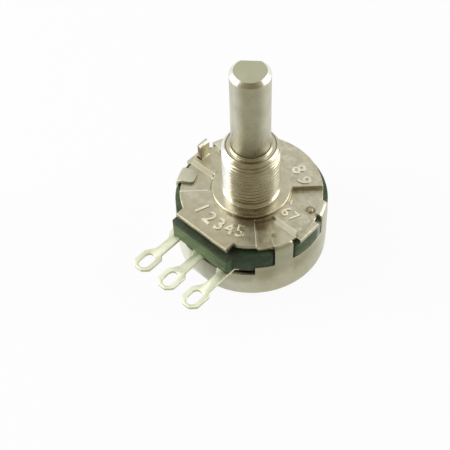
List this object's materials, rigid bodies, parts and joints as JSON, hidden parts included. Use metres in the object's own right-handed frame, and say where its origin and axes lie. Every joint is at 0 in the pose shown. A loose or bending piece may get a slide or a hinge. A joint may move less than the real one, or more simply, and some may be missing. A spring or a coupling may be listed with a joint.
{
  "type": "rotary potentiometer",
  "caption": "Panel-mount rotary potentiometer: flatted shaft in a threaded bushing, formed front plate, green terminal base, drawn can and solder lugs.",
  "frame": {"origin": "on the shaft axis, at the centre of the flat back of the can", "axes": "+Z runs out along the shaft, towards the knob end. The three solder terminals point towards -Y, so +X is to the right when the shaft points up and the terminals point at the viewer."},
  "size_m": [0.0242, 0.0324, 0.0373],
  "materials": {
    "shaft_steel": "nickel-plated, fine turned",
    "bushing_nickel": "nickel-plated brass",
    "plate_nickel": "nickel-plated, satin",
    "can_nickel": "nickel-plated, satin",
    "green_phenolic": "moulded, matte",
    "brown_laminate": "punched laminate",
    "carbon": "printed carbon film",
    "silver_print": "silver print",
    "tinned_brass": "tinned",
    "spring_bronze": "rolled strip",
    "bright_steel": "zinc-plated",
    "rotor_phenolic": "moulded",
    "grey_paper": "pressed paper"
  },
  "bodies": {
    "housing": {"mounting_bushing": "bushing_nickel", "front_plate": "plate_nickel", "rear_can": "can_nickel", "terminal_base": "green_phenolic", "resistor_wafer": "brown_laminate", "carbon_track": "carbon", "track_end_pads": "silver_print", "collector_ring": "silver_print", "terminal_left": "tinned_brass", "terminal_middle": "tinned_brass", "terminal_right": "tinned_brass", "terminal_rivet_left": "tinned_brass", "terminal_rivet_middle": "tinned_brass", "terminal_rivet_right": "tinned_brass", "thrust_washer": "bright_steel", "rear_insulator": "grey_paper"},
    "spindle": {"shaft": "shaft_steel", "retaining_ring": "bright_steel", "stop_plate": "bright_steel", "rotor": "rotor_phenolic", "contact_spring": "spring_bronze", "track_brush": "carbon", "collector_brush": "carbon"}
  },
  "joints": [
    {"name": "shaft_turn", "type": "hinge", "parent": "housing", "child": "spindle", "pos_m": [0, 0, 0.0164], "axis": [0, 0, 1], "range_deg": [-188.7, 111.3]}
  ]
}
